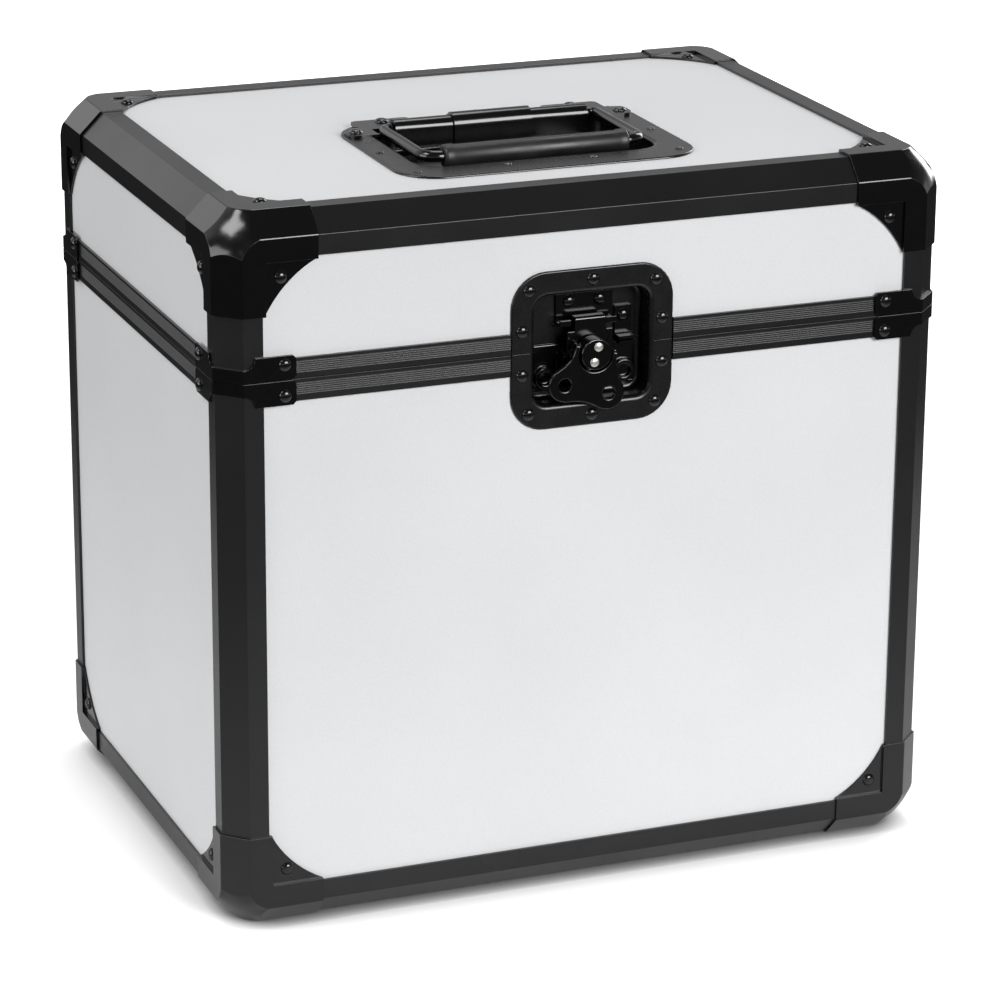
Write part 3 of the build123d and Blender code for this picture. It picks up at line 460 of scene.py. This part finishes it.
def add_lathe(shape, profile, foot, axis, radius, height):
    """Adds a turned form: profile points are shares of the radius and of the height."""
    turn = Matrix.Translation(foot) @ axis.to_track_quat("Z", "Y").to_matrix().to_4x4()
    rings = []
    for out, up in profile:
        ring = []
        for step in range(lathe_sides):
            angle = 2 * math.pi * step / lathe_sides
            across = out * radius * math.cos(angle)
            along = out * radius * math.sin(angle)
            ring.append(shape.verts.new(turn @ Vector((across, along, up * height))))
        rings.append(ring)
    for low, high in zip(rings, rings[1:]):
        for step in range(lathe_sides):
            after = (step + 1) % lathe_sides
            shape.faces.new((low[step], low[after], high[after], high[step])).smooth = True
    shape.faces.new(rings[-1]).smooth = True
    shape.faces.new(list(reversed(rings[0])))


def rivets(name):
    """Smooth domed heads in place of the heads of a CAD node."""
    shape = bmesh.new()
    for foot, outward, radius, height in heads_of(name):
        add_lathe(shape, dome_profile, foot, outward, radius, height)
    piece_from(shape, f"{name}_domes", body_of[name], slots[name], name)


for name in nodes:
    if name.endswith(("rivets", "studs")) or name.startswith("latch_rivets"):
        rivets(name)


# ---------------------------------------------------------------- pressed corners
arc_steps = 6
ball_rings = 8
ball_rise = 2.6 * MM
tongue_rise = 1.9 * MM  # how far a bevelled band reaches into the ball
flat_rise = 1.7 * MM  # how far a face along an axis does
coplanar_bend = 0.6  # degrees of bend below which two facets are one face

corner_bevel = 2.0 * MM  # width of the bevel of an edge whose share is 1
least_bend = 8  # degrees
fold_bend, fold_slack = 45, 3
square_bend = 80
fold_share = 0.3  # folds along the bands; wider bevels would cross where the ball starts
square_share = 0.4
slight_share = 0.15
inner_share = 0.08  # edges of the inner side, and hollow ones


def is_diagonal(face):
    """Whether a face looks along no axis and along no plane of two axes."""
    return min(abs(part) for part in face.normal) > 0.5


def is_outer(face):
    return face.normal.dot(face.calc_center_median() - case_middle) > 0


def bulged(start, end, outward, rise):
    """Points of an arc from start to end, both left out, that bulges outward by rise."""
    points = []
    for step in range(1, arc_steps):
        share = step / arc_steps
        points.append(start.lerp(end, share) + outward * rise * (1 - (2 * share - 1) ** 2))
    return points


def bulge_rim(shape, facet):
    """Takes a flat facet out and bulges the faces round it into the hole; returns its rim."""
    centre = facet.calc_center_median()
    loop = list(facet.verts)
    sides = []
    for start, end in zip(loop, loop[1:] + loop[:1]):
        side = shape.edges.get((start, end))
        sheet = next(face for face in side.link_faces if face is not facet)
        sides.append((start, end, sheet.normal.copy()))
    bmesh.ops.delete(shape, geom=[facet], context="FACES_ONLY")
    rim = []
    for start, end, flat in sides:
        along = (end.co - start.co).normalized()
        outward = along.cross(flat)
        if outward.dot((start.co + end.co) / 2 - centre) > 0:
            outward.negate()
        rise = flat_rise if max(abs(part) for part in flat) > 0.9 else tongue_rise
        arc = [shape.verts.new(co) for co in bulged(start.co, end.co, outward, rise)]
        sliver = shape.faces.new([start, *arc, end])
        sliver.normal_update()
        if sliver.normal.dot(flat) < 0:
            sliver.normal_flip()
        rim += [start, *arc]
    return rim


def add_ball(shape, facet):
    """Swaps the flat facet of a pressed corner for a dome, and returns the dome's faces."""
    normal = facet.normal.copy()
    centre = facet.calc_center_median()
    rim = bulge_rim(shape, facet)
    heights = [(vert.co - centre).dot(normal) for vert in rim]
    spokes = [vert.co - centre - normal * height for vert, height in zip(rim, heights)]
    mean_reach = sum(spoke.length for spoke in spokes) / len(spokes)
    mean_height = sum(heights) / len(heights)
    outer = rim
    dome = []
    for step in range(ball_rings - 1, 0, -1):
        share = step / ball_rings
        inner = []
        for spoke, height in zip(spokes, heights):
            # the rim's waves die out towards the top, so that the rings become circles
            reach = mean_reach + (spoke.length - mean_reach) * share**4
            lift = ball_rise * (1 - share**2) + mean_height * share**2
            lift += (height - mean_height) * share**5
            place = centre + spoke.normalized() * reach * share + normal * lift
            inner.append(shape.verts.new(place))
        dome += add_strip(shape, outer, inner)
        outer = inner
    top = shape.verts.new(centre + normal * ball_rise)
    for start, end in zip(outer, outer[1:] + outer[:1]):
        dome.append(shape.faces.new((start, end, top)))
    return dome


def pressed_edge_share(edge):
    """How much of a full bevel an edge of a pressed corner gets."""
    if len(edge.link_faces) != 2:
        return 0.0
    bend = math.degrees(edge.calc_face_angle(0.0))
    if bend < least_bend:
        return 0.0
    outside = all(is_outer(face) for face in edge.link_faces)
    if not outside or edge.calc_face_angle_signed(0.0) < 0:
        return inner_share
    if any(is_diagonal(face) for face in edge.link_faces):
        return 0.0
    if abs(bend - fold_bend) < fold_slack:
        return fold_share
    return square_share if bend > square_bend else slight_share


def pressed_corners(name):
    """The pressed corners of a CAD node with a domed ball and soft bends."""
    shape = shape_of(name)
    bend = math.radians(coplanar_bend)
    bmesh.ops.dissolve_limit(shape, angle_limit=bend, verts=shape.verts, edges=shape.edges)
    facets = [face for face in shape.faces if is_diagonal(face) and is_outer(face)]
    domes = {face for facet in facets for face in add_ball(shape, facet)}
    bmesh.ops.recalc_face_normals(shape, faces=shape.faces)
    flat_edges = [edge for edge in shape.edges if not domes.intersection(edge.link_faces)]
    bmesh.ops.dissolve_limit(shape, angle_limit=bend, verts=[], edges=flat_edges)
    share = shape.edges.layers.float.new("bevel_weight_edge")
    for edge in shape.edges:
        on_dome = len(domes.intersection(edge.link_faces)) == 2
        edge[share] = 0.0 if on_dome else pressed_edge_share(edge)
    for face in shape.faces:
        face.smooth = True
    piece = piece_from(shape, f"{name}_pressed", body_of[name], slots[name], name)
    round_edges(piece, corner_bevel, segments=3).use_clamp_overlap = False
    keep_flats(piece)


for name in nodes:
    if "_corners_" in name:
        pressed_corners(name)


# ---------------------------------------------------------------- pressed dishes
dish_sheet = 1.2 * MM
dish_rim_round = 0.9 * MM
dish_mouth_round = 2.6 * MM
dish_floor_round = 2.2 * MM
dish_depth = 12.5 * MM  # face of the flange to the floor
dish_edge_round = 0.35 * MM
dish_edge_bend = 40  # degrees
corner_steps = 9
arc_turns = 6
back_rings = 3  # rings of a dish's hidden side

latch_base_low, latch_base_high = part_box("latch_dish_base")
latch_lid_low, latch_lid_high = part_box("latch_dish_lid")
latch_outline = (latch_base_high[0] - latch_base_low[0], latch_lid_high[2] - latch_base_low[2])
latch_outline_round = 18.0 * MM
latch_mouth = (60.0 * MM, 54.4 * MM)
latch_mouth_round = 7.0 * MM
latch_face = latch_base_low[1]
part_z = (latch_base_high[2] + latch_lid_low[2]) / 2
part_gap = 0.3 * MM  # between the halves of the latch's dish

handle_low, handle_high = (Vector(corner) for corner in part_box("handle_dish"))
handle_outline = (handle_high.x - handle_low.x, handle_high.y - handle_low.y)
handle_outline_round = 22.0 * MM
handle_mouth = (125.6 * MM, 78.0 * MM)
handle_mouth_round = 14.0 * MM
handle_mouth_shift = 2.0 * MM  # towards the back


def rounded_rectangle(size, radius):
    """Points round a rectangle with rounded corners, centred on the origin."""
    points = []
    for quarter, signs in enumerate(((1, 1), (-1, 1), (-1, -1), (1, -1))):
        x, y = (sign * (length / 2 - radius) for sign, length in zip(signs, size))
        for step in range(corner_steps + 1):
            angle = math.pi / 2 * (quarter + step / corner_steps)
            points.append((x + radius * math.cos(angle), y + radius * math.sin(angle)))
    return points


def quarter_arc(radius):
    """(along, away) of points of a quarter turn, from along the start to along the end."""
    for step in range(arc_turns + 1):
        angle = math.pi / 2 * step / arc_turns
        yield radius * math.sin(angle), radius * (1 - math.cos(angle))


def dish_shape(place, outline, outline_round, mouth, mouth_round, mouth_shift=0.0):
    """A closed shell: flange with a rolled rim, rolled mouth, wall and coved floor.

    place takes a point across, up the flange and out of it, and gives it in the scene.
    """
    rings = []

    def flange_ring(inward, depth):
        size = [length - 2 * inward for length in outline]
        points = rounded_rectangle(size, outline_round - inward)
        rings.append([place(x, y, -depth) for x, y in points])

    def mouth_ring(outward, depth):
        size = [length + 2 * outward for length in mouth]
        points = rounded_rectangle(size, mouth_round + outward)
        rings.append([place(x, y + mouth_shift, -depth) for x, y in points])

    flange_ring(0.0, dish_sheet)
    for along, away in quarter_arc(dish_rim_round):
        flange_ring(away, dish_rim_round - along)
    for along, away in quarter_arc(dish_mouth_round):
        mouth_ring(dish_mouth_round - along, away)
    for along, away in quarter_arc(dish_floor_round):
        mouth_ring(-away, dish_depth - dish_floor_round + along)
    flange_ring(dish_rim_round, dish_sheet)
    mouth_ring(dish_sheet, dish_sheet)
    mouth_ring(dish_sheet, dish_depth + dish_sheet)
    shape = bmesh.new()
    made = [[shape.verts.new(point) for point in points] for points in rings]
    front = made[:-back_rings]
    back = [made[0], *made[-back_rings:]]
    for skin in (front, back):
        for outer, inner in zip(skin, skin[1:]):
            add_strip(shape, outer, inner)
        shape.faces.new(skin[-1])
    bmesh.ops.recalc_face_normals(shape, faces=shape.faces)
    return shape


def finish_dish(shape, name, node):
    """The dish as a piece in place of a node, its cut edges broken."""
    for face in shape.faces:
        face.smooth = True
    piece = piece_from(shape, name, body_of[node], slots[node], node)
    round_edges(piece, dish_edge_round, segments=3, bend=dish_edge_bend)
    keep_flats(piece)


def latch_pan(half, side):
    """The half of the latch's dish on one side of the parting line: -1 below, 1 above."""
    shape = dish_shape(
        lambda x, y, z: Vector((x, latch_face - z, part_z + y)),
        latch_outline,
        latch_outline_round,
        latch_mouth,
        latch_mouth_round,
    )
    everything = shape.verts[:] + shape.edges[:] + shape.faces[:]
    cut = Vector((0, 0, part_z + side * part_gap / 2))
    way = (0, 0, -side)
    bmesh.ops.bisect_plane(shape, geom=everything, plane_co=cut, plane_no=way, clear_outer=True)
    rim = [edge for edge in shape.edges if edge.is_boundary]
    bmesh.ops.triangle_fill(shape, edges=rim, use_beauty=True, normal=way)
    bmesh.ops.recalc_face_normals(shape, faces=shape.faces)
    finish_dish(shape, f"latch_pan_{half}", f"latch_dish_{half}")


def handle_pan():
    middle = (handle_low.y + handle_high.y) / 2
    shape = dish_shape(
        lambda x, y, z: Vector((x, middle + y, handle_high.z + z)),
        handle_outline,
        handle_outline_round,
        handle_mouth,
        handle_mouth_round,
        handle_mouth_shift,
    )
    finish_dish(shape, "handle_pan", "handle_dish")


latch_pan("base", -1)
latch_pan("lid", 1)
handle_pan()


# ---------------------------------------------------------------- handle
rod_low, rod_high = (Vector(corner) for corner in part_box("handle_bail"))
rod_radius = (rod_high.z - rod_low.z) / 2
rod_end = 8 * MM  # from the middle of the case to each end, under the bracket
rod_bend = 8 * MM
pivot_bend = 5 * MM
bend_steps = 10
rod_roundness = 6
grip_low, grip_high = (Vector(corner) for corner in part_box("handle_grip"))
grip_profile = (  # shares of the radius and of the length: a sleeve with a collar at each end
    (0.6, 0.0),
    (0.9, 0.0),
    (1.0, 0.008),
    (1.0, 0.05),
    (0.93, 0.058),
    (0.93, 0.942),
    (1.0, 0.95),
    (1.0, 0.992),
    (0.9, 1.0),
    (0.6, 1.0),
)
grip_edge_round = 0.3 * MM
grip_edge_bend = 30  # degrees


def rounded_route(first, corners, last):
    """Points along a polyline whose corners, (place, radius) each, are rounded."""
    places = [first, *(place for place, _ in corners), last]
    route = [first]
    for before, (corner, radius), after in zip(places, corners, places[2:]):
        way_in = (corner - before).normalized()
        way_out = (after - corner).normalized()
        start = corner - way_in * radius
        for step in range(bend_steps + 1):
            angle = step / bend_steps * math.pi / 2
            along = way_in * radius * math.sin(angle)
            route.append(start + along + way_out * radius * (1 - math.cos(angle)))
    route.append(last)
    return route


def tube(name, route, radius, body, slot, *replaced):
    """A round rod along a route."""
    curve = bpy.data.curves.new(name, "CURVE")
    curve.dimensions = "3D"
    curve.bevel_depth = radius
    curve.bevel_resolution = rod_roundness
    curve.use_fill_caps = True
    spline = curve.splines.new("POLY")
    spline.points.add(len(route) - 1)
    for point, place in zip(spline.points, route):
        point.co = (*place, 1.0)
    holder = bpy.data.objects.new(f"{name}_route", curve)
    mesh = bpy.data.meshes.new_from_object(holder)
    bpy.data.objects.remove(holder)
    for face in mesh.polygons:
        face.use_smooth = True
    mesh.name = name
    return new_piece(name, mesh, body, slot, *replaced)


def bail_rod():
    """The bent rod of the handle: pivots at the back, grip at the front."""
    side = (rod_high.x - rod_low.x) / 2 - rod_radius
    front = rod_low.y + rod_radius
    back = rod_high.y - rod_radius
    level = (rod_high.z + rod_low.z) / 2
    route = rounded_route(
        Vector((rod_end, back, level)),
        [
            (Vector((side, back, level)), pivot_bend),
            (Vector((side, front, level)), rod_bend),
            (Vector((-side, front, level)), rod_bend),
            (Vector((-side, back, level)), pivot_bend),
        ],
        Vector((-rod_end, back, level)),
    )
    tube("bail_rod", route, rod_radius, "handle_bail", "handle_steel", "handle_bail")


def grip_sleeve():
    """The turned sleeve of the grip, with its collars."""
    middle = (grip_low + grip_high) / 2
    foot = Vector((grip_low.x, middle.y, middle.z))
    radius = (grip_high.z - grip_low.z) / 2
    shape = bmesh.new()
    add_lathe(shape, grip_profile, foot, Vector((1, 0, 0)), radius, grip_high.x - grip_low.x)
    grip = piece_from(shape, "grip_sleeve", "handle_bail", "grip_rubber", "handle_grip")
    round_edges(grip, grip_edge_round, segments=2, bend=grip_edge_bend)


bail_rod()
grip_sleeve()


# ================================================================ stage, lights and camera
def floor_look():
    """Pale paper with the case's shadow to the camera: the lamps' shadow, deepened near the case by
    painted shade. A white table in a dark room to the rest.
    """
    look = Look("floor")
    seen = look.node("ShaderNodeLightPath").outputs["Is Camera Ray"]
    away = look.node("ShaderNodeVectorMath", operation="LENGTH")
    look.link(look.place, away.inputs[0])
    distance = away.outputs["Value"]
    # painted shade: the floor's openness, from ambient occlusion, darkens its colour and glow in
    # the crevice under the case
    openness = look.node("ShaderNodeAmbientOcclusion")
    openness.inputs["Distance"].default_value = crevice_reach
    closed, free, depth = crevice_painted_shade
    painted_shade = look.ramp(openness.outputs["AO"], closed, free, depth)
    glow = look.combine("MULTIPLY", look.ramp(distance, *glow_start, glow_near), painted_shade)
    look.link(look.combine("MULTIPLY", seen, glow), look.shader.inputs["Emission Strength"])
    look.shader.inputs["Emission Color"].default_value = (*white, 1.0)
    cloud = look.patches(look.noise(scale=3, detail=2))
    paper = look.mix(cloud, (0.91, 0.91, 0.91), (0.93, 0.93, 0.93))
    # painted shade darkens the paper's colour
    paper = look.mix(painted_shade, black, paper)
    table = look.ramp(distance, *table_edge, table_white, floor_beyond)
    rough = look.patches(look.noise(scale=30, detail=2), low=0.8, high=0.9)
    return look.finish(look.mix(seen, table, paper), rough, Specular_IOR_Level=0.0)


def lay_floor():
    corners = [
        (x * floor_reach, y * floor_reach, 0) for x, y in ((-1, -1), (1, -1), (1, 1), (-1, 1))
    ]
    mesh = bpy.data.meshes.new("floor")
    mesh.from_pydata(corners, [], [(0, 1, 2, 3)])
    mesh.materials.append(floor_look())
    floor = bpy.data.objects.new("floor", mesh)
    scene.collection.objects.link(floor)


def studio():
    """A dim room with a pale foot all round and pale cards in it, white to the camera."""
    scene.world = bpy.data.worlds.new("studio")
    scene.world.use_nodes = True
    room = Tree(scene.world.node_tree)
    way = room.node("ShaderNodeTexCoord").outputs["Generated"]
    level = room_level
    for direction, start, full, radiance in room_cards:
        aim = room.node("ShaderNodeVectorMath", operation="DOT_PRODUCT")
        aim.inputs[1].default_value = Vector(direction).normalized()
        room.link(way, aim.inputs[0])
        card = room.ramp(aim.outputs["Value"], start, full, 0.0, radiance, curve="SMOOTHSTEP")
        level = room.combine("ADD", level, card)
    split = room.node("ShaderNodeSeparateXYZ")
    room.link(way, split.inputs["Vector"])
    foot = room.ramp(split.outputs["Z"], *foot_rises, room_foot, 0.0, curve="SMOOTHSTEP")
    seen = room.node("ShaderNodeLightPath").outputs["Is Camera Ray"]
    brightest = room.combine("MAXIMUM", room.combine("MAXIMUM", level, foot), seen)
    background = room.tree.nodes["Background"]
    room.link(brightest, background.inputs["Strength"])
    background.inputs["Color"].default_value = (*white, 1.0)


def hang_lamps():
    for name, (place, size, power) in softboxes.items():
        lamp = bpy.data.lights.new(name, "AREA")
        lamp.shape = "RECTANGLE"
        lamp.size, lamp.size_y = size
        lamp.energy = power
        holder = bpy.data.objects.new(name, lamp)
        holder.location = place
        aim = lamps_aim - Vector(place)
        holder.rotation_euler = aim.to_track_quat("-Z", "Y").to_euler()
        scene.collection.objects.link(holder)


def place_camera():
    lens = bpy.data.cameras.new("camera")
    lens.lens = camera_lens
    lens.sensor_width = camera_sensor
    camera = bpy.data.objects.new("camera", lens)
    camera.location = camera_place
    camera.rotation_euler = camera_tilt
    scene.collection.objects.link(camera)
    scene.camera = camera


lay_floor()
studio()
hang_lamps()
place_camera()
scene.view_settings.view_transform = "Standard"
